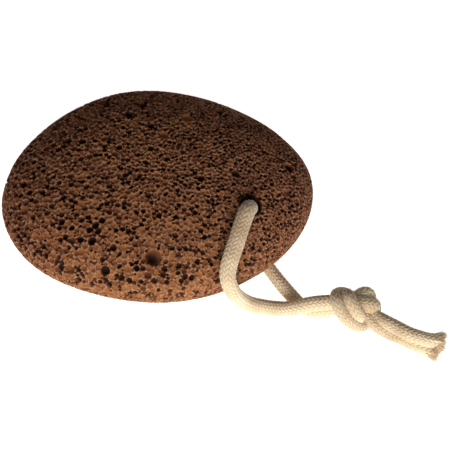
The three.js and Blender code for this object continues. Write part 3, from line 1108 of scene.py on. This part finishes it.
def makeStrands(name, starts, directions, bends, lengths, thickness):
    # thin three-sided strands with a start, a direction, a sideways bend and a length each, and
    # none goes under the table
    settings = strandSettings
    steps = settings["steps"]
    share = np.linspace(0, 1, steps)[None, :, None]
    line = starts[:, None, :] + directions[:, None, :] * lengths[:, None, None] * share
    line = line + bends[:, None, :] * lengths[:, None, None] * share**2
    line[..., 2] = np.maximum(line[..., 2], thickness)
    ahead = np.gradient(line, axis=1)
    ahead /= np.linalg.norm(ahead, axis=2, keepdims=True)
    side = np.cross(ahead, np.array(settings["slant"]))
    side /= np.linalg.norm(side, axis=2, keepdims=True)
    over = np.cross(ahead, side)
    width = thickness / 2 * (1 - settings["taper"] * share)
    turns = settings["corners"]
    corners = [line + width * (math.cos(a) * side + math.sin(a) * over) for a in turns]
    vertices = np.stack(corners, axis=2).reshape(-1, 3)
    base = np.arange(len(starts))[:, None, None] * steps * 3
    faces = (gridFaces(steps, 3)[None] + base).reshape(-1, 4).tolist()
    faces += (np.array([2, 1, 0])[None] + base[:, 0]).tolist()
    faces += (np.array([0, 1, 2])[None] + (steps - 1) * 3 + base[:, 0]).tolist()
    piece = makeObject(name, vertices, faces)
    piece.data.materials.append(cotton)
    for attribute in ("stitch", "cutEnd"):
        giveValues(piece, attribute, np.ones(len(vertices)))
    return piece


def frayEnd(name, half, seed, tuft):
    # strands start inside the last millimetres of the cord and open outwards
    settings = fraySettings
    _, line, ahead, side, over, radius = half
    chance = np.random.default_rng(seed)
    count = settings["count"]
    turn = chance.uniform(0, 2 * math.pi, count)
    out = np.sqrt(chance.uniform(0, 1, count))
    radial = np.cos(turn)[:, None] * side[-1] + np.sin(turn)[:, None] * over[-1]
    back = chance.uniform(settings["backLeast"], 1, count)[:, None] * settings["back"]
    rooted = out * (radius[-1] + settings["proud"])
    starts = line[-1] - ahead[-1] * back + radial * rooted[:, None]
    directions = ahead[-1] + radial * (settings["spread"] * out**2)[:, None]
    directions = directions + chance.normal(0, settings["stray"], (count, 3))
    bends = radial * (settings["bend"] * out)[:, None]
    bends = bends + chance.normal(0, settings["bendStray"], (count, 3))
    more = chance.uniform(0, 1, count) ** settings["reachSkew"] * settings["reach"]
    lengths = back[:, 0] + more
    if tuft:
        # the strands on the side that the tuft points to gather along it
        aim, number = np.array(tuft["aim"]), tuft["count"]
        chosen = np.argsort(-(radial * out[:, None]) @ aim)[:number]
        directions[chosen] = aim + chance.normal(0, tuft["stray"], (number, 3))
        bends[chosen] = chance.normal(0, tuft["bend"], (number, 3))
        more = chance.uniform(tuft["lengthLeast"], 1, number) * tuft["length"]
        lengths[chosen] = back[chosen, 0] * 0.5 + more
    return makeStrands(name, starts, directions, bends, lengths, settings["thickness"])


frayUpper = frayEnd("fray_upper", upperHalf, fraySettings["seed"], tuftSettings)
frayLower = frayEnd("fray_lower", lowerHalf, fraySettings["seed"] + 1, None)
print("ends frayed")


# Fuzz: single fibres that stand out of the braid
fuzzSettings = {
    "count": 3000,
    "length": 0.9,
    "lengthLeast": 0.4,
    "thickness": 0.035,
    "holeShade": 0.12,  # share of the line that has none
    "sunk": 0.15,
    "outward": 0.6,
    "alongward": 0.8,
    "stray": 0.3,
    "bend": 0.4,
    "lowest": 0.1,
    "seed": 9,
}


def fuzzOn(name, half, share, seed):
    # fibres rooted just under the braid's surface, leaning along it either way
    settings = fuzzSettings
    _, line, ahead, side, over, radius = half
    chance = np.random.default_rng(seed)
    count = int(settings["count"] * share)
    ring = chance.integers(int(len(line) * settings["holeShade"]), len(line) - 5, count)
    turn = chance.uniform(0, 2 * math.pi, count)
    radial = np.cos(turn)[:, None] * side[ring] + np.sin(turn)[:, None] * over[ring]
    starts = line[ring] + radial * (radius[ring] - settings["sunk"])[:, None]
    alongward = ahead[ring] * chance.normal(0, settings["alongward"], (count, 1))
    directions = radial * settings["outward"] + alongward
    directions = directions + chance.normal(0, settings["stray"], (count, 3))
    directions /= np.linalg.norm(directions, axis=1, keepdims=True)
    bends = chance.normal(0, settings["bend"], (count, 3))
    lengths = settings["length"] * chance.uniform(settings["lengthLeast"], 1, count)
    tips = starts[:, 2] + (directions[:, 2] + bends[:, 2]) * lengths
    high = tips > settings["lowest"]
    thickness = settings["thickness"]
    return makeStrands(name, starts[high], directions[high], bends[high], lengths[high], thickness)


fuzzUpper = fuzzOn("fuzz_upper", upperHalf, upperSettings["fuzzShare"], fuzzSettings["seed"])
fuzzLower = fuzzOn("fuzz_lower", lowerHalf, lowerSettings["fuzzShare"], fuzzSettings["seed"] + 1)
declareCord(upperHalf)
declareCord(lowerHalf)
print("fuzz added")


# Table and light: a white glowing table, a wide low light in front, and a dim surround
studioSettings = {
    "tableReach": 3000,
    "tableSurface": {
        "Base Color": (0.9, 0.9, 0.9, 1),
        "Roughness": 0.9,
        "Specular IOR Level": 0.1,
        "Emission Color": (1, 1, 1, 1),
        "Emission Strength": 0.88,
    },
    "surround": 0.16,
    "keyPower": 18.6,
    "keyPlace": (0.05, -1.19, 0.44),  # places and sizes of the light are in metres
    "keyAim": (0.01, -0.01, 0.01),
    "keySize": (1.4, 0.5),
}


def makeStudio(settings):
    reach = settings["tableReach"]
    corners = [(-reach, -reach, 0), (reach, -reach, 0), (reach, reach, 0), (-reach, reach, 0)]
    table = makeObject("table", corners, [(0, 1, 2, 3)], body=None)
    shader = Shader("white_table")
    for name, value in settings["tableSurface"].items():
        shader.surface.inputs[name].default_value = value
    table.data.materials.append(shader.material)
    world = bpy.data.worlds.new("surround")
    world.use_nodes = True
    background = world.node_tree.nodes["Background"].inputs
    background["Color"].default_value = (1, 1, 1, 1)
    background["Strength"].default_value = settings["surround"]
    bpy.context.scene.world = world
    light = bpy.data.lights.new("key", "AREA")
    light.shape = "RECTANGLE"
    light.size, light.size_y = settings["keySize"]
    light.energy = settings["keyPower"]
    lamp = bpy.data.objects.new("key", light)
    lamp.location = settings["keyPlace"]
    towards = Vector(settings["keyAim"]) - lamp.location
    lamp.rotation_euler = towards.to_track_quat("-Z", "Y").to_euler()
    bpy.context.collection.objects.link(lamp)
    bpy.context.scene.view_settings.view_transform = "Standard"


makeStudio(studioSettings)
print("studio lit")
